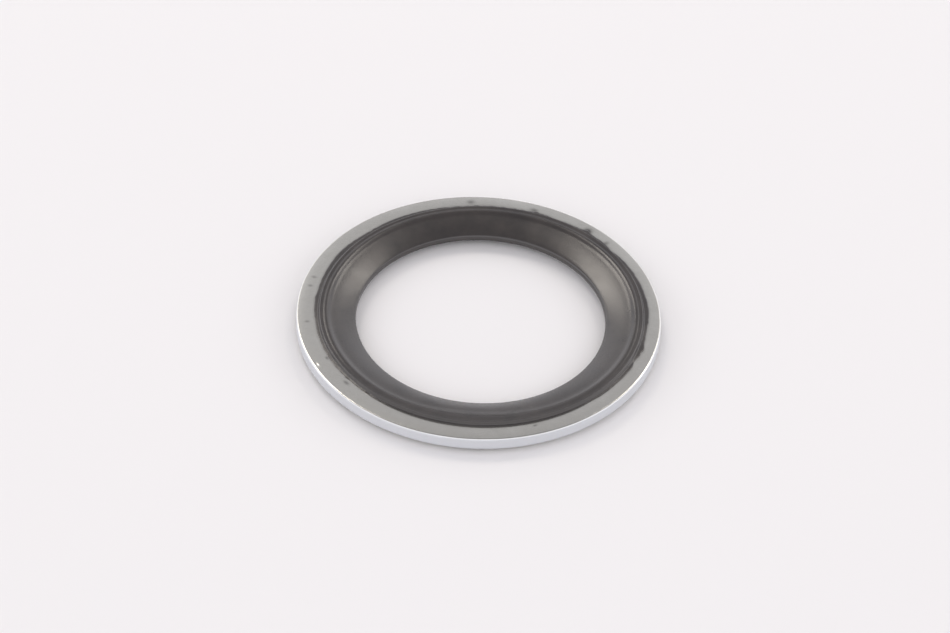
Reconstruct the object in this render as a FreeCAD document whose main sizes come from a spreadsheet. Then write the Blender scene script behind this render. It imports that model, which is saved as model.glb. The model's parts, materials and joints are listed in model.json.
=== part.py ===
import FreeCAD, Part
import math
import os
import Sketcher

# Bonded seal ring for a 16 mm threaded port: a flat zinc-plated steel ring whose bore carries a
# black rubber ring, moulded onto it as one piece. The rubber stands proud of both steel faces as a
# lip with two fine ridges, falls inwards as a crowned cone to a short land at the bore, and spreads
# outwards over the steel as a thin film of flash.
#
# Millimetres. The origin is the centre of the ring, midway between its two faces. Z is its axis.
# The section is sized outwards from the rubber's bore, each width starting where the last ends.

DRIVING_SIZES = [
    ("rubber_bore", 16.4, "free bore of the rubber, for a 16 mm stud"),
    ("bore_land", 0.42, "height of the straight land at the bore"),
    ("cone_width", 1.6, "from the bore out to the mouth of the cone"),
    ("cone_crown", 9.0, "radius of the cone's outward crown, seen in section"),
    ("flank_width", 0.22, "from the cone's mouth out to the crest of the inner ridge"),
    ("flank_drop", 0.12, "from the ridges' tops down to the mouth of the cone"),
    ("ridge_spacing", 0.38, "from the crest of the inner ridge to that of the outer one"),
    ("ridge_crown", 0.4, "radius of each ridge's crown, which sets the groove between them"),
    ("ridge_shoulder", 0.1, "from each crest out to the edge of its crown"),
    ("side_width", 0.22, "from the crest of the outer ridge out to the lip's foot"),
    ("lip_height", 0.3, "how far the ridges stand proud of each steel face"),
    ("flash_width", 0.35, "how far the film of flash runs out from the lip's foot"),
    ("flash_thickness", 0.05, "film on the steel at the lip's foot"),
    ("flash_edge", 0.025, "film at its outer edge"),
    ("bond_inset", 0.27, "how far the steel's bore lies inside the lip's foot"),
    ("steel_width", 1.65, "from the steel's bore out to its rim"),
    ("steel_thickness", 0.9, "plate that the ring is punched from"),
    ("rim_break", 0.1, "tumbled edge of the steel's rim"),
]

# Distances from the axis, as expressions over the sheet's sizes.
BORE = "sizes.rubber_bore / 2"
MOUTH = f"{BORE} + sizes.cone_width"
INNER_CREST = f"{MOUTH} + sizes.flank_width"
OUTER_CREST = f"{INNER_CREST} + sizes.ridge_spacing"
FOOT = f"{OUTER_CREST} + sizes.side_width"
FILM_TIP = f"{FOOT} + sizes.flash_width"
BOND = f"{FOOT} - sizes.bond_inset"
RIM = f"{BOND} + sizes.steel_width"

# Heights above the middle plane.
LAND_TOP = "sizes.bore_land / 2"
STEEL_FACE = "sizes.steel_thickness / 2"
FOOT_TOP = f"{STEEL_FACE} + sizes.flash_thickness"
FILM_TOP = f"{STEEL_FACE} + sizes.flash_edge"
RIDGE_TOP = f"{STEEL_FACE} + sizes.lip_height"
RIDGE_CENTRE = f"{RIDGE_TOP} - sizes.ridge_crown"
MOUTH_TOP = f"{RIDGE_TOP} - sizes.flank_drop"

doc = FreeCAD.newDocument("seal_ring")


def make_sheet(rows):
    """Writes each driving size into a row of the sheet: its name, its value and what it is."""
    sheet = doc.addObject("Spreadsheet::Sheet", "sizes")
    for number, (alias, value, note) in enumerate(rows, start=1):
        sheet.set(f"A{number}", alias)
        sheet.set(f"B{number}", str(value))
        sheet.set(f"C{number}", note)
        sheet.setAlias(f"B{number}", alias)
    doc.recompute()
    return sheet


sheet = make_sheet(DRIVING_SIZES)


def value(expression):
    """Works out an expression over the sheet's sizes."""
    return sheet.evalExpression(expression)


def origin_feature(body, role):
    """Finds one of a body's own origin planes or axes by its role, such as XY_Plane."""
    return next(item for item in body.Origin.OriginFeatures if item.Role == role)


def section_sketch(body, name):
    """Starts a sketch on the body's upright XZ plane: across is the radius, up is the height."""
    sketch = body.newObject("Sketcher::SketchObject", name)
    sketch.AttachmentSupport = [(origin_feature(body, "XZ_Plane"), "")]
    sketch.MapMode = "FlatFace"
    return sketch


def point(across, up):
    return FreeCAD.Vector(across, up, 0)


ROOT = (-1, 1)
START, END, CENTRE = 1, 2, 3


def dimension(sketch, name, expression, kind, *where):
    """Adds a named dimension and ties it to an expression over the sheet's sizes."""
    index = sketch.addConstraint(Sketcher.Constraint(kind, *where, value(expression)))
    sketch.renameConstraint(index, name)
    sketch.setExpression(f"Constraints.{name}", expression)


def hold_radius(sketch, name, expression, *spot):
    """Holds a point of the section at a distance from the ring's axis."""
    dimension(sketch, name, expression, "DistanceX", *ROOT, *spot)


def hold_height(sketch, name, expression, *spot):
    """Holds a point of the section at a height above the ring's middle plane."""
    dimension(sketch, name, expression, "DistanceY", *ROOT, *spot)


def revolve(body, sketch, name):
    """Turns the section once round the upright axis of its sketch."""
    turned = body.newObject("PartDesign::Revolution", name)
    turned.Profile = sketch
    turned.ReferenceAxis = (sketch, ["V_Axis"])
    turned.Angle = 360
    doc.recompute()
    return turned


def circles_at(feature, radius, heights, slack=1e-4):
    """Names the circular edges of a feature that lie at a radius and at one of some heights."""
    names = []
    for number, edge in enumerate(feature.Shape.Edges, start=1):
        curve = edge.Curve
        if not isinstance(curve, Part.Circle) or abs(curve.Radius - radius) > slack:
            continue
        if any(abs(curve.Center.z - height) < slack for height in heights):
            names.append(f"Edge{number}")
    return names


def break_edges(body, base, name, edge_names, expression):
    """Chamfers the named circular edges by one size from the sheet."""
    chamfer = body.newObject("PartDesign::Chamfer", name)
    chamfer.Base = (base, edge_names)
    chamfer.setExpression("Size", expression)
    body.Tip = chamfer
    doc.recompute()


def make_steel_ring():
    """A flat ring: a rectangle turned round the axis, with its two outer edges broken."""
    body = doc.addObject("PartDesign::Body", "steel_ring_body")
    body.Label = "steel_ring"
    sketch = section_sketch(body, "steel_section")
    inner, outer, half = value(BOND), value(RIM), value(STEEL_FACE)
    corners = [point(inner, -half), point(outer, -half), point(outer, half), point(inner, half)]
    for index, corner in enumerate(corners):
        sketch.addGeometry(Part.LineSegment(corner, corners[(index + 1) % 4]))
    under, rim, top, bond = range(len(corners))
    for index in (under, rim, top, bond):
        sketch.addConstraint(Sketcher.Constraint("Coincident", index, END, (index + 1) % 4, START))
    for level in (under, top):
        sketch.addConstraint(Sketcher.Constraint("Horizontal", level))
    for upright in (rim, bond):
        sketch.addConstraint(Sketcher.Constraint("Vertical", upright))
    hold_radius(sketch, "bond_radius", BOND, bond, START)
    hold_radius(sketch, "rim_radius", RIM, rim, START)
    hold_height(sketch, "top_face", STEEL_FACE, top, START)
    dimension(sketch, "plate", "sizes.steel_thickness", "DistanceY", rim, START, rim, END)
    ring = revolve(body, sketch, "steel_blank")
    break_edges(body, ring, "rim_edges", circles_at(ring, outer, (-half, half)), "sizes.rim_break")
    return body


def above(centre, radius, across):
    """The point of a circle that lies above its centre, some way across from it."""
    return centre + point(across, math.sqrt(radius ** 2 - across ** 2))


def heading(centre, spot):
    """The direction from a circle's centre to a point on it, in radians."""
    return math.atan2(spot.y - centre.y, spot.x - centre.x)


def arc(centre, radius, first, last):
    """An arc that runs anticlockwise from the first point to the last."""
    circle = Part.Circle(centre, FreeCAD.Vector(0, 0, 1), radius)
    return Part.ArcOfCircle(circle, heading(centre, first), heading(centre, last))


def make_rubber_seal():
    """Half the rubber's section, above the middle plane, turned round the axis and mirrored."""
    body = doc.addObject("PartDesign::Body", "rubber_seal_body")
    body.Label = "rubber_seal"
    sketch = section_sketch(body, "rubber_section")

    bore, bond, face = value(BORE), value(BOND), value(STEEL_FACE)
    land_top = point(bore, value(LAND_TOP))
    mouth = point(value(MOUTH), value(MOUTH_TOP))
    foot = point(value(FOOT), value(FOOT_TOP))
    film_tip = point(value(FILM_TIP), value(FILM_TOP))

    # The two ridges are equal arcs. They cross in the groove, halfway between their crests.
    crown = value("sizes.ridge_crown")
    shoulder = value("sizes.ridge_shoulder")
    inner_centre = point(value(INNER_CREST), value(RIDGE_CENTRE))
    outer_centre = point(value(OUTER_CREST), value(RIDGE_CENTRE))
    groove = above(inner_centre, crown, value("sizes.ridge_spacing / 2"))
    flank_top = above(inner_centre, crown, -shoulder)
    side_top = above(outer_centre, crown, shoulder)

    # The cone is an arc whose centre lies below and outside its chord.
    bulge = value("sizes.cone_crown")
    half_chord = (mouth - land_top) * 0.5
    across_chord = point(half_chord.y, -half_chord.x).normalize()
    to_centre = math.sqrt(bulge ** 2 - half_chord.Length ** 2)
    cone_centre = land_top + half_chord + across_chord * to_centre

    outline = [
        Part.LineSegment(point(bore, 0), land_top),
        arc(cone_centre, bulge, mouth, land_top),
        Part.LineSegment(mouth, flank_top),
        arc(inner_centre, crown, groove, flank_top),
        arc(outer_centre, crown, side_top, groove),
        Part.LineSegment(side_top, foot),
        Part.LineSegment(foot, film_tip),
        Part.LineSegment(film_tip, point(film_tip.x, face)),
        Part.LineSegment(point(film_tip.x, face), point(bond, face)),
        Part.LineSegment(point(bond, face), point(bond, 0)),
        Part.LineSegment(point(bond, 0), point(bore, 0)),
    ]
    for curve in outline:
        sketch.addGeometry(curve)
    (land, cone, flank, ridge_in, ridge_out, side,
     film, tip, on_steel, bond_wall, middle) = range(len(outline))

    corners = [
        (land, END, cone, END),
        (cone, START, flank, START),
        (flank, END, ridge_in, END),
        (ridge_in, START, ridge_out, END),
        (ridge_out, START, side, START),
        (side, END, film, START),
        (film, END, tip, START),
        (tip, END, on_steel, START),
        (on_steel, END, bond_wall, START),
        (bond_wall, END, middle, START),
        (middle, END, land, START),
    ]
    for corner in corners:
        sketch.addConstraint(Sketcher.Constraint("Coincident", *corner))
    for upright in (land, tip, bond_wall):
        sketch.addConstraint(Sketcher.Constraint("Vertical", upright))
    for level in (on_steel, middle):
        sketch.addConstraint(Sketcher.Constraint("Horizontal", level))
    sketch.addConstraint(Sketcher.Constraint("PointOnObject", middle, START, -1))

    hold_radius(sketch, "bore_radius", BORE, land, START)
    hold_height(sketch, "land_top", LAND_TOP, land, END)
    dimension(sketch, "cone_crown", "sizes.cone_crown", "Radius", cone)
    hold_radius(sketch, "mouth_radius", MOUTH, flank, START)
    hold_height(sketch, "mouth_top", MOUTH_TOP, flank, START)
    for ridge, name, crest in ((ridge_in, "inner", INNER_CREST), (ridge_out, "outer", OUTER_CREST)):
        hold_radius(sketch, f"{name}_crest", crest, ridge, CENTRE)
        hold_height(sketch, f"{name}_centre", RIDGE_CENTRE, ridge, CENTRE)
        dimension(sketch, f"{name}_crown", "sizes.ridge_crown", "Radius", ridge)
    hold_radius(sketch, "flank_top", f"{INNER_CREST} - sizes.ridge_shoulder", ridge_in, END)
    hold_radius(sketch, "side_top", f"{OUTER_CREST} + sizes.ridge_shoulder", ridge_out, START)
    hold_radius(sketch, "foot_radius", FOOT, side, END)
    hold_height(sketch, "foot_top", FOOT_TOP, side, END)
    hold_radius(sketch, "film_radius", FILM_TIP, film, END)
    hold_height(sketch, "film_top", FILM_TOP, film, END)
    hold_height(sketch, "steel_face", STEEL_FACE, on_steel, START)
    hold_radius(sketch, "bond_radius", BOND, on_steel, END)

    half_ring = revolve(body, sketch, "upper_half")
    whole = body.newObject("PartDesign::Mirrored", "both_halves")
    whole.Originals = [half_ring]
    whole.MirrorPlane = (origin_feature(body, "XY_Plane"), [""])
    body.Tip = whole
    doc.recompute()
    return body


def check_document():
    """Stops before anything is written if an object of the document failed."""
    for item in doc.Objects:
        if "Invalid" in item.State or "Error" in item.State:
            raise RuntimeError(f"{item.Name} failed: {item.State}")
        if item.isDerivedFrom("Sketcher::SketchObject") and item.solve() != 0:
            raise RuntimeError(f"{item.Name} has constraints that don't agree")


def write_parts(bodies):
    """Writes each piece to a file of its own, named after its label."""
    os.makedirs("parts", exist_ok=True)
    for body in bodies:
        shape = body.Shape
        if shape.isNull() or not shape.isValid() or len(shape.Solids) != 1:
            raise RuntimeError(f"{body.Label} is not one valid solid")
        box = shape.optimalBoundingBox(True, False)
        print(f"{body.Label}: {shape.Volume:.3f} mm3, {len(shape.Faces)} faces, "
              f"{box.XLength:.2f} x {box.YLength:.2f} x {box.ZLength:.3f} mm")
        shape.exportStep(os.path.join("parts", f"{body.Label}.step"))


pieces = [make_steel_ring(), make_rubber_seal()]
doc.recompute()
check_document()
write_parts(pieces)
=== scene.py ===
# %% [markdown]
# A bonded seal ring.
# The object is a flat steel ring, zinc plated, with a black rubber ring moulded into its bore. The
# rubber stands proud of both steel faces as a lip, and two of these rings seal a fluid fitting.
# Both pieces are turned shapes: a section carried once round an axis. So this lesson works the
# sections out as numpy arrays, one row for each angle round the ring. A row can then differ a
# little from the next, and that is where the ragged flash and the worn lip of a real ring come from.

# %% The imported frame
import json
import math
import bpy
import numpy as np
from mathutils import Matrix, Vector


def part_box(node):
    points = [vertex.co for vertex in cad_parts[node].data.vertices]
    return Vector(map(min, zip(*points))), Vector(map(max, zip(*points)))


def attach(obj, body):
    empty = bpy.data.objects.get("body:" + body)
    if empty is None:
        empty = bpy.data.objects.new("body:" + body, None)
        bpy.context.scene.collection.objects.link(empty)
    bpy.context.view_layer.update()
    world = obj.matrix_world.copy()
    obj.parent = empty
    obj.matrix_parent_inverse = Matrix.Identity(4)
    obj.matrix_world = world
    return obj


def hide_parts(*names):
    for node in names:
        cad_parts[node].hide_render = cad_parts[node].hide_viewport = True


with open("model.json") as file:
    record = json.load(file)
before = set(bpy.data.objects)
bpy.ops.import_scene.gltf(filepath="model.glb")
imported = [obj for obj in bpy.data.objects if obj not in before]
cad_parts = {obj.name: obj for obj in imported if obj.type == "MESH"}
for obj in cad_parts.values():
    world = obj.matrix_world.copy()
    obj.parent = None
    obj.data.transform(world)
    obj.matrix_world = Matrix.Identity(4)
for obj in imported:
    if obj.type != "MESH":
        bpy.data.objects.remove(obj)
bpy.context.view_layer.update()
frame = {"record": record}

# %% [markdown]
# The sizes that the frame knows.
# The frame gives each piece's box, and the record gives the free bore. Taking the main sizes from
# there keeps the dressed ring's rim, faces, ridge tops and bore on its solids. Sections are worked
# out in millimetres, because their numbers are then easy to read, and turned into metres when a
# mesh is made.

# %% Main sizes
MM = 0.001

steel_low, steel_top = (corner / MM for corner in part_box("steel_ring"))
rubber_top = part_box("rubber_seal")[1] / MM
mounts = {mount["name"]: mount for mount in frame["record"]["mounts"]}

# The solid's mesh is faceted, so its box is a hair smaller to one side. The smaller half is taken.
RIM = min(steel_top.x, -steel_low.x)
STEEL_FACE = steel_top.z
RIDGE_TOP = rubber_top.z
FILM_TIP = rubber_top.x
BORE = mounts["stud_bore"]["dims"]["r_mm"]
print(f"rim {RIM:.2f}, bore {BORE:.2f}, film out to {FILM_TIP:.2f}, "
      f"steel face at {STEEL_FACE:.2f}, ridges at {RIDGE_TOP:.2f} mm")

# %% [markdown]
# Where the columns of the mesh go.
# Most of the ring is smooth and needs few columns of faces. The tags of flash are narrow and need
# many. Spreading the columns by a density, high near each tag, costs far fewer faces than a fine
# step all the way round.

# %% Angles round the ring
# Where the narrow tags are. The cell on the film's edge gives each its width and reach.
TAG_ANGLES = np.radians([38, 51, 63, 72, 176, 229, 312, 338, 345])
COLUMNS = 960
TAG_SPREAD = math.radians(1.6)
TAG_DENSITY = 2.5
SUM_STEPS = 20001


def away_from(angle, spot):
    """The angle from a spot, the short way round: the heading of the turned unit vector."""
    return np.angle(np.exp(1j * (angle - spot)))


def spaced_angles(count):
    """Angles whose density is one plus a bell at each tag: even steps of its running sum."""
    fine = np.linspace(0, 2 * np.pi, SUM_STEPS)
    gap = away_from(fine[:, None], TAG_ANGLES[None, :])
    density = 1 + TAG_DENSITY * np.exp(-(gap / TAG_SPREAD) ** 2).sum(axis=1)
    total = np.concatenate([[0], np.cumsum((density[1:] + density[:-1]) / 2)])
    steps = np.linspace(0, total[-1], count, endpoint=False)
    return np.interp(steps, total, fine)


ANGLES = spaced_angles(COLUMNS)
print(f"{COLUMNS} columns, {np.degrees(np.diff(ANGLES).min()):.2f} to "
      f"{np.degrees(np.diff(ANGLES).max()):.2f} degrees apart")

# %% [markdown]
# Unevenness that closes on itself.
# A value that wanders round a ring has to come back to where it began. A sum of cosines of whole
# numbers of turns does that by itself, and its range of turns says how coarse or fine it is.

# %% Wandering values
def wander(lowest, highest, seed):
    """A sum of cosines, each with a whole number of turns, a random phase and a random share.
    It is scaled to a spread of one, with one value for each angle of the mesh."""
    draw = np.random.default_rng(seed)
    turns = np.arange(lowest, highest + 1)
    phase = draw.uniform(0, 2 * np.pi, turns.size)
    share = draw.normal(size=turns.size)
    value = (share * np.cos(turns * ANGLES[:, None] + phase)).sum(axis=1)
    return value / np.sqrt((share ** 2).sum() / 2)


def bell(spot, half_width):
    """A bump of height one at an angle, in radians, as exp of minus the squared distance."""
    return np.exp(-(away_from(ANGLES, spot) / half_width) ** 2)


# %% [markdown]
# From sections to a mesh.
# Spin and screw modifiers turn one section, but here each angle has its own. So the grid of points
# is worked out at once, and every four neighbours make a face. The grid joins up both ways, which
# gives one closed skin with no seam and no pole.

# %% Turning sections into a piece
def corners_of(grid):
    """The four corners of each face of a grid that joins up both ways, in order round the face."""
    ahead = np.roll(grid, -1, axis=0)
    faces = np.stack([grid, ahead, np.roll(ahead, -1, axis=1), np.roll(grid, -1, axis=1)], axis=-1)
    return faces.reshape(-1, 4)


def enclosed(points, faces):
    """The volume inside a closed mesh: a sixth of the sum of triple products of its triangles."""
    a, b, c, d = (points[faces[:, corner]] for corner in range(4))
    halves = np.cross(a, b) * c + np.cross(a, c) * d
    return halves.sum() / 6


def turned_piece(name, radius, height, offset, marks=None):
    """Makes a piece from sections, one row of radii and heights in mm for each angle.
    A point is (radius cos angle, radius sin angle, height), moved sideways by its offset."""
    across, along = offset
    points = np.stack([
        radius * np.cos(ANGLES)[:, None] + across,
        radius * np.sin(ANGLES)[:, None] + along,
        height,
    ], axis=-1).reshape(-1, 3) * MM
    faces = corners_of(np.arange(radius.size).reshape(radius.shape))
    if enclosed(points, faces) < 0:
        faces = faces[:, ::-1]
    mesh = bpy.data.meshes.new(name)
    mesh.vertices.add(len(points))
    mesh.vertices.foreach_set("co", points.ravel())
    mesh.loops.add(faces.size)
    mesh.loops.foreach_set("vertex_index", faces.ravel())
    mesh.polygons.add(len(faces))
    mesh.polygons.foreach_set("loop_start", np.arange(0, faces.size, 4))
    mesh.polygons.foreach_set("use_smooth", np.ones(len(faces), bool))
    mesh.update(calc_edges=True)
    if marks is not None:
        stain = mesh.attributes.new("stain", "FLOAT", "POINT")
        stain.data.foreach_set("value", marks.astype(np.float32).ravel())
    piece = bpy.data.objects.new(name, mesh)
    bpy.context.scene.collection.objects.link(piece)
    print(f"{name}: {len(faces) * 2} triangles, {enclosed(points, faces) / MM ** 3:.1f} cubic mm")
    return piece


def joined(*stretches):
    """Puts stretches of a section one after another, each spread to a row for every angle."""
    rows = len(ANGLES)
    spread = [np.broadcast_to(stretch, (rows, np.shape(stretch)[-1])) for stretch in stretches]
    return np.concatenate(spread, axis=1)


# %% [markdown]
# The steel ring.
# It is punched from plate, tumbled and plated. Punching draws the plate's face down a little
# towards the rim, and tumbling rounds the corner. Light runs along that round, so it has to be
# real geometry: a quarter of an ellipse that meets the face and the wall without a corner.

# %% Steel face and corner
BOND = RIM - 1.65
ROUND_WIDTH, ROUND_DEPTH, ROUND_VARIES = 0.12, 0.11, 0.08
DRAWN_FROM = RIM - 0.75
DRAWN_DOWN, DRAWN_VARIES = 0.012, 0.35
NICK_ANGLE, NICK_HALF = np.radians([208, 1.1])
NICK_FROM = RIM - 0.3
NICK_DEPTH = 0.012
FACE_END = RIM - ROUND_WIDTH
PLAIN_POINTS, DRAWN_POINTS, ROUND_POINTS = 18, 12, 13

plain_r = np.linspace(BOND, DRAWN_FROM, PLAIN_POINTS)
drawn_r = np.linspace(DRAWN_FROM, FACE_END, DRAWN_POINTS)
face_r = np.append(plain_r, drawn_r[1:])
corner = np.linspace(np.pi / 2, 0, ROUND_POINTS)[1:]


def drawn(r, depth):
    """How far punching has drawn the face down: the square of the way out from where it begins."""
    way = np.clip((r - DRAWN_FROM) / (FACE_END - DRAWN_FROM), 0, 1)
    return depth[:, None] * way ** 2


def steel_half(seed):
    """One face with its rounded corner, from the bore out to the wall: radii and heights. The
    corner goes out by width times cos angle and down by depth times (1 - sin angle)."""
    depth = DRAWN_DOWN * (1 + DRAWN_VARIES * wander(1, 5, seed))
    round_z = ROUND_DEPTH * (1 + ROUND_VARIES * wander(2, 30, seed + 1))
    nick = NICK_DEPTH * bell(NICK_ANGLE, NICK_HALF)
    face_z = STEEL_FACE - drawn(face_r, depth) - nick[:, None] * (face_r > NICK_FROM)
    corner_r = (FACE_END - nick)[:, None] + ROUND_WIDTH * np.cos(corner)
    corner_z = face_z[:, -1:] - round_z[:, None] * (1 - np.sin(corner))
    return joined(face_r, corner_r), joined(face_z, corner_z)


upper_r, upper_z = steel_half(seed=11)
under_r, under_z = steel_half(seed=21)
print(f"the face ends {1000 * (STEEL_FACE - upper_z[:, len(face_r) - 1].mean()):.0f} microns low, "
      f"with a round of {ROUND_WIDTH:.2f} mm")

# %% [markdown]
# The wall of the rim.
# The punch leaves the wall a touch hollow. It joins the two rounded corners, so its radius is the
# mean of theirs, less a parabola that is deepest halfway down.

# %% Steel section
WALL_HOLLOW = 0.006
WALL_POINTS = 7

wall_z = np.linspace(1, -1, WALL_POINTS)[1:-1]
wall_r = (upper_r[:, -1:] + under_r[:, -1:]) / 2 - WALL_HOLLOW * (1 - wall_z ** 2)
steel_r = joined(upper_r, wall_r, under_r[:, ::-1])
steel_z = joined(upper_z, wall_z * upper_z[:, -1:], -under_z[:, ::-1])
print("steel section:", steel_r.shape[1], "points")

# %% [markdown]
# The torn edge of the flash.
# The mould pressed a film of rubber out over the plating. Its edge is a little oval, it is ragged at
# a fine scale, and it runs out or stops short in a few places. A clean circle there would look
# drawn.

# %% Edge of the film
FILM_EDGE = FILM_TIP - 0.04
OVAL, SLOW_WANDER, FINE_WANDER = 0.06, 0.015, 0.008
FILM_OFFSET = np.array([0.18, 0.17])
# Angle and half width in degrees, then how far the film runs out in mm.
TAGS = [
    (5, 5, 0.05), (38, 3, -0.07), (51.5, 1.5, 0.16), (63, 2, -0.08), (72, 1.5, 0.06), (150, 8, 0.05),
    (176, 2, 0.06), (188, 3, -0.06), (218.5, 1.5, 0.05), (229, 2, -0.05), (312, 2, -0.07),
    (338, 2, -0.14), (345, 1.5, 0.10), (353, 4, -0.05),
]


def film_edge(seed, tags):
    """The film's radius at each angle: an oval, a slow wander, a fine one, and the tags."""
    oval = OVAL * np.cos(2 * ANGLES)
    slow = SLOW_WANDER * wander(3, 20, seed)
    fine = FINE_WANDER * wander(40, 160, seed + 1)
    runs = sum(reach * bell(math.radians(angle), math.radians(half)) for angle, half, reach in tags)
    return FILM_EDGE + oval + slow + fine + runs


upper_film = film_edge(seed=31, tags=TAGS)
under_film = film_edge(seed=41, tags=[])
print(f"film edge between {upper_film.min():.2f} and {upper_film.max():.2f} mm")

# %% [markdown]
# Marks on the steel.
# Beside the film's edge the plated face is smeared with rubber, and it has a few grey smudges.
# They have no thickness, so they are a value stored on the mesh's points, and the material darkens
# the zinc by it.

# %% Smudges on the plated face
SMEAR_WIDTH = 0.09
SMEAR_DARK = 0.3
# Angle and half width in degrees, then middle radius and half length in mm, then how dark.
SMUDGES = [
    (51.3, 1.4, 11.30, 0.28, 1.0), (42.7, 0.8, 11.30, 0.20, 0.5), (72.3, 1.5, 11.30, 0.15, 0.6),
    (94.3, 1.2, 11.35, 0.20, 0.6), (164.5, 0.5, 11.40, 0.15, 0.5), (169.0, 0.5, 11.40, 0.15, 0.5),
    (187.0, 0.5, 11.30, 0.14, 0.5), (206.5, 0.8, 10.90, 0.08, 0.6), (220.5, 1.2, 11.02, 0.12, 0.6),
    (290.5, 0.7, 11.16, 0.07, 0.6),
]


def smudge(angle, half_width, middle, half_length, dark):
    """A soft spot: one bell round the ring times another across the face."""
    across = np.exp(-((steel_r - middle) / half_length) ** 2)
    return dark * bell(math.radians(angle), math.radians(half_width))[:, None] * across


film_reach = upper_film + FILM_OFFSET @ np.stack([np.cos(ANGLES), np.sin(ANGLES)])
smear = SMEAR_DARK * np.exp(-((steel_r - film_reach[:, None]) / SMEAR_WIDTH) ** 2)
stain = np.clip(smear + sum(smudge(*place) for place in SMUDGES), 0, 1) * (steel_z > 0)
steel_ring = turned_piece("zinc_plated_ring", steel_r, steel_z, (0, 0), stain)

# %% [markdown]
# Corners that aren't sharp.
# Moulded rubber has no sharp corner. Each stretch of the section is a simple curve that gives a
# height for a radius, and where two of them meet, the larger or the smaller one holds. A smooth
# maximum does the same with a fillet of a chosen width.

# %% Smooth maximum and minimum
def smooth_max(a, b, width):
    """The larger height, plus the square of how far their gap falls short of a width, over four
    widths: a round fillet where two stretches cross."""
    short = np.clip(width - np.abs(a - b), 0, None)
    return np.maximum(a, b) + short ** 2 / (4 * width)


def smooth_min(a, b, width):
    """The smaller height, with the same fillet."""
    return -smooth_max(-a, -b, width)


# %% [markdown]
# The cone inside the lip.
# A stud goes into the bore over a cone that is slightly crowned. In section that is one circle,
# known by its radius and by two points: the top of the land at the bore and the cone's mouth. Its
# centre lies square to the middle of the line between them. The radii of the mouth, the ridges and
# the lip's foot, here and in the next cell, are 0.1 to 0.2 mm larger than the solid's. The light
# on the ring matches the photo better so, but the photo doesn't show which of them is right.

# %% Cone
LAND_TOP = 0.20
CONE_MOUTH = 9.93
MOUTH_TOP = RIDGE_TOP - 0.105
CONE_CROWN = 10.0


def cone(r):
    """A circle of the crown's radius through the top of the land and the cone's mouth."""
    half = np.array([CONE_MOUTH - BORE, MOUTH_TOP - LAND_TOP]) / 2
    square = np.array([half[1], -half[0]]) / np.hypot(*half)
    reach = math.sqrt(CONE_CROWN ** 2 - half @ half)
    centre = np.array([BORE, LAND_TOP]) + half + reach * square
    return centre[1] + np.sqrt(CONE_CROWN ** 2 - (r - centre[0]) ** 2)


print(f"cone from {cone(BORE):.2f} mm high at the bore to {cone(CONE_MOUTH):.2f} at its mouth")

# %% [markdown]
# The lip.
# Two fine ridges meet in a groove, and a steep side drops from the outer one to the steel. On the
# side nearest the camera the ridges are worn lower and flatter, so there each height goes a share
# of the way to one level.

# %% Lip
RIDGE_CROWN = 0.4
INNER_CREST = 10.20
OUTER_CREST, OUTER_TOP = 10.52, RIDGE_TOP - 0.03
LIP_FOOT, SIDE_SLOPE = 10.72, -2.2
FILM_AT_FOOT, FILM_AT_EDGE = 0.035, 0.02
GROOVE_FILLET, MOUTH_FILLET, SIDE_FILLET, FOOT_FILLET = 0.03, 0.07, 0.05, 0.04
WORN_TOP, WORN_SHARE = RIDGE_TOP - 0.08, 0.75
WORN_SPOT, WORN_HALF = np.radians([270, 55])


def ridge(r, crest, top):
    """A parabola that has the crown's radius at the crest."""
    return top - (r - crest) ** 2 / (2 * RIDGE_CROWN)


def lip(r):
    """The lip's height at each angle: the larger of the cone and the ridges, cut off by the side.
    Where the lip is worn, the ridges are lower and flatter."""
    inner = ridge(r, INNER_CREST, RIDGE_TOP)
    outer = ridge(r, OUTER_CREST, OUTER_TOP)
    worn = WORN_SHARE * bell(WORN_SPOT, WORN_HALF)[:, None]
    ridges = WORN_TOP + (1 - worn) * (smooth_max(inner, outer, GROOVE_FILLET) - WORN_TOP)
    side = STEEL_FACE + FILM_AT_FOOT + SIDE_SLOPE * (r - LIP_FOOT)
    return smooth_min(smooth_max(cone(r), ridges, MOUTH_FILLET), side, SIDE_FILLET)


crest_z = lip(np.array([INNER_CREST]))
print(f"inner ridge between {crest_z.min():.3f} and {crest_z.max():.3f} mm high")

# %% [markdown]
# The nose at the bore.
# Where the straight land meets the cone there is a round nose, an arc that touches both. It is
# rounder on the side where the mould was worn, so its radius swells towards one angle. The arc
# turns from level, at the land, to the slope of the cone.

# %% Nose of the rubber
NOSE, WORN_NOSE = 0.1, 0.14
WORN_ANGLE = math.radians(35)
NOSE_POINTS = 6
SLOPE_STEP = 0.01
NOSE_SLOPE = math.atan((cone(BORE + SLOPE_STEP) - cone(BORE)) / SLOPE_STEP)

nose_turn = np.linspace(0, np.pi / 2 - NOSE_SLOPE, NOSE_POINTS)
nose = NOSE + WORN_NOSE * (1 + np.cos(ANGLES[:, None] - WORN_ANGLE)) ** 2 / 4
nose_low = LAND_TOP - nose * (1 - math.sin(NOSE_SLOPE)) / math.cos(NOSE_SLOPE)
nose_r = BORE + nose * (1 - np.cos(nose_turn))
nose_z = nose_low + nose * np.sin(nose_turn)
print(f"nose radius {nose.min():.2f} to {nose.max():.2f} mm")

# %% [markdown]
# The whole section.
# Half a section runs up over the nose, the cone and the lip to the film's edge, and back under the
# film to the bond with the steel. Its steps are short where it bends and long where it is plain.
# The film ends in a small step down to the steel. The lower half is the same with its own edge.

# %% Rubber section
LIP_FROM, LIP_TO = CONE_MOUTH - 0.1, LIP_FOOT + 0.04
TIP_REACH, TIP_SHARE = 0.008, 0.6
CONE_POINTS, LIP_POINTS, FILM_POINTS = 10, 30, 5

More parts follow.
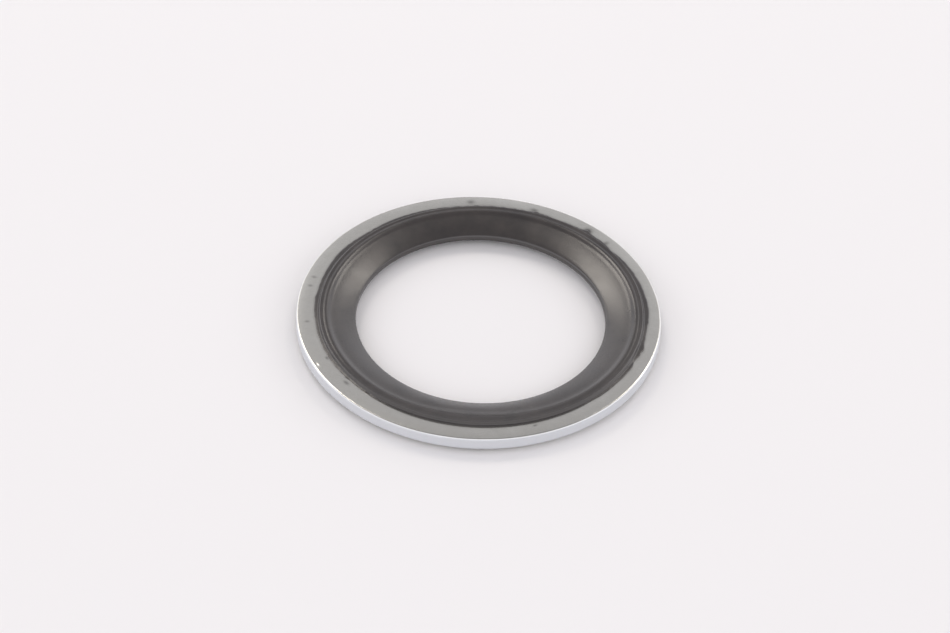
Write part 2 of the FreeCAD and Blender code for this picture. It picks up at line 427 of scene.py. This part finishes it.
cone_way = np.linspace(0, 1, CONE_POINTS)[1:]
cone_r = nose_r[:, -1:] + (LIP_FROM - nose_r[:, -1:]) * cone_way
lip_r = np.linspace(LIP_FROM, LIP_TO, LIP_POINTS)[1:]
film_way = np.linspace(0, 1, FILM_POINTS)[1:]


def rubber_half(edge):
    """Half the section at each angle, from the land out to the film and back to the bond."""
    lip_z = smooth_max(lip(lip_r), STEEL_FACE + FILM_AT_FOOT, FOOT_FILLET)
    film_r = LIP_TO + (edge[:, None] - LIP_TO) * film_way
    film_z = lip_z[:, -1:] + (STEEL_FACE + FILM_AT_EDGE - lip_z[:, -1:]) * film_way
    tip_r = edge[:, None] + np.full(2, TIP_REACH)
    tip_z = STEEL_FACE + FILM_AT_EDGE * np.array([TIP_SHARE, 0])
    back_r = np.array([BOND])
    back_z = np.array([STEEL_FACE])
    return (joined(nose_r, cone_r, lip_r, film_r, tip_r, back_r),
            joined(nose_z, lip(cone_r), lip_z, film_z, tip_z, back_z))


upper_r, upper_z = rubber_half(upper_film)
under_r, under_z = rubber_half(under_film)
rubber_r = joined(upper_r, under_r[:, ::-1])
rubber_z = joined(upper_z, -under_z[:, ::-1])
print("rubber section:", rubber_r.shape[1], "points")

# %% [markdown]
# Off centre.
# The mould didn't hold the steel quite in the middle. The bore and the cone sit 0.15 mm one way and
# the film has crept 0.25 mm another, so each point of the section gets a sideways offset that
# depends on its radius. On one side the lip is also moulded further out.

# %% The rubber piece
BORE_OFFSET = np.array([0.13, -0.07])


def off_centre(r):
    """An offset that goes from the bore's to the film's between the outer ridge and the edge."""
    way = np.clip((r - OUTER_CREST) / (FILM_TIP - OUTER_CREST), 0, 1)
    return [BORE_OFFSET[axis] + (FILM_OFFSET[axis] - BORE_OFFSET[axis]) * way for axis in range(2)]


# The lip's shift grows from the bore to the cone's mouth and fades out from the outer crest.
LIP_SHIFT = 0.14
SHIFT_ANGLE, SHIFT_HALF = np.radians([45, 45])
SHIFT_END = FILM_TIP - 0.1
into_lip = np.clip((rubber_r - BORE) / (CONE_MOUTH - BORE), 0, 1)
out_of_lip = np.clip((SHIFT_END - rubber_r) / (SHIFT_END - OUTER_CREST), 0, 1)
rubber_r = rubber_r + LIP_SHIFT * bell(SHIFT_ANGLE, SHIFT_HALF)[:, None] * into_lip ** 2 * out_of_lip
rubber_seal = turned_piece("moulded_rubber", rubber_r, rubber_z, off_centre(rubber_r))

# %% [markdown]
# Materials from a few shared effects.
# Plating and rubber both vary in tone and both have a fine grain. One node group with named sockets
# gives either of them. The shader itself stays in the material, so that its plain values sit on
# its own sockets.

# %% Node helpers
def new_group(name, inputs, outputs):
    """A shader node group with float or vector sockets, given as name to (type, default)."""
    group = bpy.data.node_groups.new(name, "ShaderNodeTree")
    for label, (kind, default) in inputs.items():
        socket = group.interface.new_socket(label, in_out="INPUT", socket_type=kind)
        if default is not None:
            socket.default_value = default
    for label, kind in outputs.items():
        group.interface.new_socket(label, in_out="OUTPUT", socket_type=kind)
    return group, group.nodes.new("NodeGroupInput"), group.nodes.new("NodeGroupOutput")


def add(tree, kind, **values):
    """Adds a node, setting its own properties by name and its input sockets by label."""
    node = tree.nodes.new(kind)
    for label, value in values.items():
        if label in node.bl_rna.properties:
            setattr(node, label, value)
        else:
            node.inputs[label.replace("_", " ")].default_value = value
    return node


# %% [markdown]
# Sums inside a material.
# A Math node works out one value from others, and a Map Range node stretches one range over
# another. Both are used often, so each gets a function that returns the node's output.

# %% Maths in a node tree
def maths(tree, operation, *terms):
    """A Math node whose terms are sockets or numbers. Returns its output."""
    node = tree.nodes.new("ShaderNodeMath")
    node.operation = operation
    for socket, term in zip(node.inputs, terms):
        if isinstance(term, bpy.types.NodeSocket):
            tree.links.new(term, socket)
        else:
            socket.default_value = term
    return node.outputs[0]


def spread(tree, value, low, high, to_low=0.0, to_high=1.0):
    """A Map Range node from one range to another. Returns its output."""
    node = add(tree, "ShaderNodeMapRange", From_Min=low, From_Max=high, To_Min=to_low, To_Max=to_high)
    tree.links.new(value, node.inputs["Value"])
    return node.outputs["Result"]


# %% [markdown]
# Cloudy tone.
# Noise goes from nought to one in soft patches, mostly between a low and a high level that are
# stretched apart here. Dividing the place by the patch size gives that size in metres, whatever
# the object.

# %% Cloudy tone
NUMBER = "NodeSocketFloat"
VECTOR = "NodeSocketVector"
NOISE_LOW, NOISE_HIGH = 0.3, 0.7

cloud_group, ends, out = new_group(
    "cloudy_tone",
    {"Place": (VECTOR, None), "Patch": (NUMBER, 0.002), "Detail": (NUMBER, 4.0)},
    {"Tone": NUMBER},
)
finer = add(cloud_group, "ShaderNodeVectorMath", operation="SCALE")
noise = add(cloud_group, "ShaderNodeTexNoise", Scale=1.0, Roughness=0.55)
cloud_group.links.new(ends.outputs["Place"], finer.inputs[0])
cloud_group.links.new(maths(cloud_group, "DIVIDE", 1.0, ends.outputs["Patch"]), finer.inputs["Scale"])
cloud_group.links.new(finer.outputs[0], noise.inputs["Vector"])
cloud_group.links.new(ends.outputs["Detail"], noise.inputs["Detail"])
tone = spread(cloud_group, noise.outputs["Fac"], NOISE_LOW, NOISE_HIGH)
cloud_group.links.new(tone, out.inputs["Tone"])
print("group:", cloud_group.name)

# %% [markdown]
# Small helpers for both materials.
# Each material needs a shader, two clouds at its own patch sizes, a colour between two others, and
# a bump. A function for each keeps the material cells short.

# %% Material helpers
def place_group(tree, group, place, **values):
    """Puts a group into a material's tree, fed with a place and its own values."""
    node = tree.nodes.new("ShaderNodeGroup")
    node.node_tree = group
    tree.links.new(place, node.inputs["Place"])
    for label, value in values.items():
        node.inputs[label].default_value = value
    return node.outputs[0]


def new_material(name):
    """A material with its tree of nodes and the Principled shader in it."""
    material = bpy.data.materials.new(name)
    material.use_nodes = True
    tree = material.node_tree
    return material, tree, tree.nodes["Principled BSDF"]


def mixed(tree, share, first, second):
    """A colour between two: each is a socket or a plain colour."""
    node = add(tree, "ShaderNodeMix", data_type="RGBA")
    tree.links.new(share, node.inputs["Factor"])
    for label, colour in (("A", first), ("B", second)):
        socket = next(item for item in node.inputs if item.name == label and item.type == "RGBA")
        if isinstance(colour, bpy.types.NodeSocket):
            tree.links.new(colour, socket)
        else:
            socket.default_value = (*colour, 1)
    return next(item for item in node.outputs if item.type == "RGBA")


def bumped(tree, height, depth):
    """A Bump node for a height from nought to one that stands for a depth in metres."""
    node = add(tree, "ShaderNodeBump", Strength=1.0, Distance=depth)
    tree.links.new(height, node.inputs["Height"])
    return node.outputs[0]


# %% [markdown]
# Zinc plating.
# The plate is a satin metal of a pale, faintly warm grey, cloudy from tumbling. The punched wall is
# rougher and cooler. How far a surface is from level tells the material which of them it is on,
# and the object's own normal gives that. Patch sizes and depths are in metres.

# %% Zinc material
ZINC, ZINC_DULL = (0.785, 0.78, 0.74), (0.65, 0.645, 0.615)
ZINC_STAIN = (0.16, 0.155, 0.15)
ZINC_PATCH, ZINC_GRAIN, ZINC_GRAIN_DEPTH = 0.0018, 0.00011, 0.0000012
SATIN_ROUGHNESS, DULL_ROUGHNESS = 0.15, 0.21
PUNCHED = (0.72, 0.735, 0.76)
PUNCHED_ROUGHNESS = 0.6
# How much of the normal is upright where the wall begins, and where it is all wall.
WALL_BEGINS, WALL_ALL = 0.96, 0.4

zinc, tree, shader = new_material("zinc_plating")
coordinates = add(tree, "ShaderNodeTexCoord")
place = coordinates.outputs["Object"]
cloud = place_group(tree, cloud_group, place, Patch=ZINC_PATCH, Detail=5.0)
grain = place_group(tree, cloud_group, place, Patch=ZINC_GRAIN, Detail=2.0)
soiled = add(tree, "ShaderNodeAttribute", attribute_name="stain").outputs["Fac"]
facing = add(tree, "ShaderNodeSeparateXYZ")
tree.links.new(coordinates.outputs["Normal"], facing.inputs[0])
wall = spread(tree, maths(tree, "ABSOLUTE", facing.outputs["Z"]), WALL_BEGINS, WALL_ALL)
tone = mixed(tree, soiled, mixed(tree, cloud, ZINC, ZINC_DULL), ZINC_STAIN)
tree.links.new(mixed(tree, wall, tone, PUNCHED), shader.inputs["Base Color"])
satin = spread(tree, cloud, 0, 1, SATIN_ROUGHNESS, DULL_ROUGHNESS)
rough = maths(tree, "MAXIMUM", satin, maths(tree, "MULTIPLY", wall, PUNCHED_ROUGHNESS))
tree.links.new(rough, shader.inputs["Roughness"])
tree.links.new(bumped(tree, grain, ZINC_GRAIN_DEPTH), shader.inputs["Normal"])
shader.inputs["Metallic"].default_value = 1.0
print("material:", zinc.name, "with", len(tree.nodes), "nodes")

# %% [markdown]
# Black rubber.
# Moulded nitrile rubber is nearly black and half matt. It shines where the mould was polished, and
# a faint brown bloom comes out of it in patches. The grain is as fine as the mould's own finish.

# %% Rubber material
RUBBER, RUBBER_BLOOM = (0.030, 0.027, 0.027), (0.043, 0.037, 0.035)
RUBBER_PATCH, RUBBER_GRAIN, RUBBER_GRAIN_DEPTH = 0.0016, 0.00009, 0.0000015
POLISHED_ROUGHNESS, BLOOM_ROUGHNESS = 0.20, 0.27
RUBBER_IOR = 1.65

rubber, tree, shader = new_material("nitrile_rubber")
place = add(tree, "ShaderNodeTexCoord").outputs["Object"]
cloud = place_group(tree, cloud_group, place, Patch=RUBBER_PATCH, Detail=4.0)
grain = place_group(tree, cloud_group, place, Patch=RUBBER_GRAIN, Detail=2.0)
tree.links.new(mixed(tree, cloud, RUBBER, RUBBER_BLOOM), shader.inputs["Base Color"])
rough = spread(tree, cloud, 0, 1, POLISHED_ROUGHNESS, BLOOM_ROUGHNESS)
tree.links.new(rough, shader.inputs["Roughness"])
tree.links.new(bumped(tree, grain, RUBBER_GRAIN_DEPTH), shader.inputs["Normal"])
shader.inputs["IOR"].default_value = RUBBER_IOR
print("material:", rubber.name, "with", len(tree.nodes), "nodes")

# %% [markdown]
# Dressing and riding.
# Each piece takes its material and rides on the one body. It also says which solid it stands for,
# and that solid is hidden.

# %% Dress and ride
for piece, node, slot, material in (
    (steel_ring, "steel_ring", "zinc_steel", zinc),
    (rubber_seal, "rubber_seal", "black_rubber", rubber),
):
    piece.data.materials.append(material)
    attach(piece, "root")
    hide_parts(node)
    print(piece.name, "stands for", node)

# %% [markdown]
# The table it lies on.
# The ring rests on its lower ridges, so the table's top is exactly there. It is plain and pale,
# and wide enough to fill any view from above.

# %% Table
FLOOR_HALF = 1.5
FLOOR_COLOUR = (0.855, 0.845, 0.847)
FLOOR_ROUGHNESS, FLOOR_SHINE = 0.9, 0.2

floor_mesh = bpy.data.meshes.new("table_top")
floor_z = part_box("rubber_seal")[0].z
floor_mesh.from_pydata(
    [(x * FLOOR_HALF, y * FLOOR_HALF, floor_z) for x, y in ((-1, -1), (1, -1), (1, 1), (-1, 1))],
    [], [(0, 1, 2, 3)],
)
floor = bpy.data.objects.new("table_top", floor_mesh)
bpy.context.scene.collection.objects.link(floor)
paint, tree, shader = new_material("pale_table")
shader.inputs["Base Color"].default_value = (*FLOOR_COLOUR, 1)
shader.inputs["Roughness"].default_value = FLOOR_ROUGHNESS
shader.inputs["Specular IOR Level"].default_value = FLOOR_SHINE
floor_mesh.materials.append(paint)
print(f"table top at {floor_z / MM:.2f} mm")

# %% [markdown]
# Two soft windows.
# The long highlights on the cone and the bright stretches of the rim say where the light stood:
# behind the ring, to each side of it, a little higher than the camera looks down. So two soft
# boxes stand there, each an area lamp turned to the ring.

# %% Lights
BOX_DISTANCE = 0.6
BOX_WIDTH = 0.19
LAMP_COLOUR = (1.0, 0.93, 0.84)
# Azimuth and elevation in degrees, then height in metres, then glow in times white.
WINDOWS = {"window_left": (-29.5, 49, 0.17, 4.8), "window_right": (32, 47.5, 0.12, 3.9)}


def toward(azimuth, elevation):
    """The direction at an angle to the right of straight behind the ring, and at a height."""
    a, e = math.radians(azimuth), math.radians(elevation)
    return Vector((math.sin(a) * math.cos(e), math.cos(a) * math.cos(e), math.sin(e)))


def soft_box(name, way, height, glow):
    """A rectangular lamp. Its power is its glow, in times white, times pi and its area."""
    lamp = bpy.data.lights.new(name, "AREA")
    lamp.shape = "RECTANGLE"
    lamp.size = BOX_WIDTH
    lamp.size_y = height
    lamp.energy = glow * math.pi * BOX_WIDTH * height
    lamp.color = LAMP_COLOUR
    holder = bpy.data.objects.new(name, lamp)
    holder.location = way * BOX_DISTANCE
    holder.rotation_euler = way.to_track_quat("Z", "Y").to_euler()
    bpy.context.scene.collection.objects.link(holder)


for name, (azimuth, elevation, height, glow) in WINDOWS.items():
    soft_box(name, toward(azimuth, elevation), height, glow)
    print(f"{name}: {azimuth} degrees aside, {elevation} up, {height} m high")

# %% [markdown]
# A pale room.
# Everything else that the ring mirrors is the room. Between the two windows it is bright at the
# horizon and dim above, beside them it is bright to half its height, and the wall behind the
# camera is pale and lights the table. So the room has three columns of levels, one for each.

# %% Levels of the room
ROOM_COLOUR = (0.97, 0.955, 0.985)
# The height of a direction, then the glow between the windows, beside them and behind the camera.
WALL = [
    (0.00, 3.20, 0.90, 1.30), (0.09, 2.60, 1.05, 1.35), (0.17, 1.20, 1.25, 1.40),
    (0.26, 0.45, 1.45, 1.45), (0.34, 0.42, 1.50, 1.45), (0.42, 0.52, 1.40, 1.40),
    (0.50, 0.68, 1.15, 1.40), (0.60, 0.58, 0.95, 1.35), (0.67, 0.46, 0.80, 1.30),
    (0.87, 0.28, 0.32, 1.10), (1.00, 0.26, 0.26, 0.80),
]

room = bpy.data.worlds.new("pale_room")
bpy.context.scene.world = room
room.use_nodes = True
tree = room.node_tree
direction = add(tree, "ShaderNodeTexCoord").outputs["Generated"]
axes = add(tree, "ShaderNodeSeparateXYZ")
tree.links.new(direction, axes.inputs[0])

wall = add(tree, "ShaderNodeValToRGB")
while len(wall.color_ramp.elements) < len(WALL):
    wall.color_ramp.elements.new(0.5)
for stop, (height, *levels_there) in zip(wall.color_ramp.elements, WALL):
    stop.position = height
    stop.color = (*levels_there, 1)
tree.links.new(axes.outputs["Z"], wall.inputs[0])
levels = add(tree, "ShaderNodeSeparateColor")
tree.links.new(wall.outputs[0], levels.inputs[0])
print("room levels at", len(WALL), "heights")

# %% [markdown]
# Which column holds where.
# A direction's sideways share says how far it is from straight behind the ring, and its share
# along the view says whether it is behind the camera. The columns blend softly between those, and
# the room grows a little brighter far to the sides.

# %% Room
WINDOW_INNER, WINDOW_OUTER = 0.08, 0.24
SIDE_FROM, SIDE_TO, SIDE_GAIN = 0.5, 0.8, 1.3
BACK_FROM, BACK_TO = -0.1, -0.5


def blend(tree, share, first, second):
    """A number that goes from the first to the second as a share goes from nought to one."""
    rise = maths(tree, "SUBTRACT", second, first)
    return maths(tree, "ADD", first, maths(tree, "MULTIPLY", share, rise))


between, beside, behind = levels.outputs
aside = maths(tree, "ABSOLUTE", axes.outputs["X"])
beside = maths(tree, "MULTIPLY", beside, spread(tree, aside, SIDE_FROM, SIDE_TO, 1, SIDE_GAIN))
ahead = blend(tree, spread(tree, aside, WINDOW_INNER, WINDOW_OUTER), between, beside)
level = blend(tree, spread(tree, axes.outputs["Y"], BACK_FROM, BACK_TO), ahead, behind)
glow = tree.nodes["Background"]
glow.inputs["Color"].default_value = (*ROOM_COLOUR, 1)
tree.links.new(level, glow.inputs["Strength"])
print("world:", room.name, "with", len(tree.nodes), "nodes")

# %% [markdown]
# The camera.
# The ring's outline in the photo is an ellipse, and its width against its height gives how steeply
# the camera looks down. How much larger the near side is than the far one gives its distance.

# %% Camera
DOWN = math.radians(41.76)
ROLL = math.radians(2.38)
DISTANCE = 0.3429
NEAREST = 0.01
SENSOR_WIDTH = 36
# In pixels: the photo's width, the ring's outer radius and how far its centre is off the middle.
IMAGE_WIDTH = 950
RING_IN_PIXELS = 182.58
CENTRE_OFFSET = (3.78, 2.02)

lens = bpy.data.cameras.new("camera")
lens.sensor_width = SENSOR_WIDTH
lens.lens = SENSOR_WIDTH * RING_IN_PIXELS * DISTANCE / (RIM * MM) / IMAGE_WIDTH
lens.shift_x = -CENTRE_OFFSET[0] / IMAGE_WIDTH
lens.shift_y = -CENTRE_OFFSET[1] / IMAGE_WIDTH
lens.clip_start = NEAREST
camera = bpy.data.objects.new("camera", lens)
aim = Vector((0, 0, STEEL_FACE * MM))
away = Vector((0, -math.cos(DOWN), math.sin(DOWN)))
turn = Matrix.Rotation(math.pi / 2 - DOWN, 4, "X") @ Matrix.Rotation(ROLL, 4, "Z")
camera.matrix_world = Matrix.Translation(aim + away * DISTANCE) @ turn
bpy.context.scene.collection.objects.link(camera)
bpy.context.scene.camera = camera
print(f"lens {lens.lens:.1f} mm at {DISTANCE * 1000:.0f} mm")

# %% [markdown]
# The picture.
# The room and the lamps already have the photo's levels, so the view shows them as they are.

# %% Picture settings
bpy.context.scene.view_settings.view_transform = "Standard"
print("view transform:", bpy.context.scene.view_settings.view_transform)

# %% [markdown]
# Closing.
# The view layer is brought up to date at the end. The dressed ring has to stay inside the box
# of its solids.

# %% Finish
bpy.context.view_layer.update()
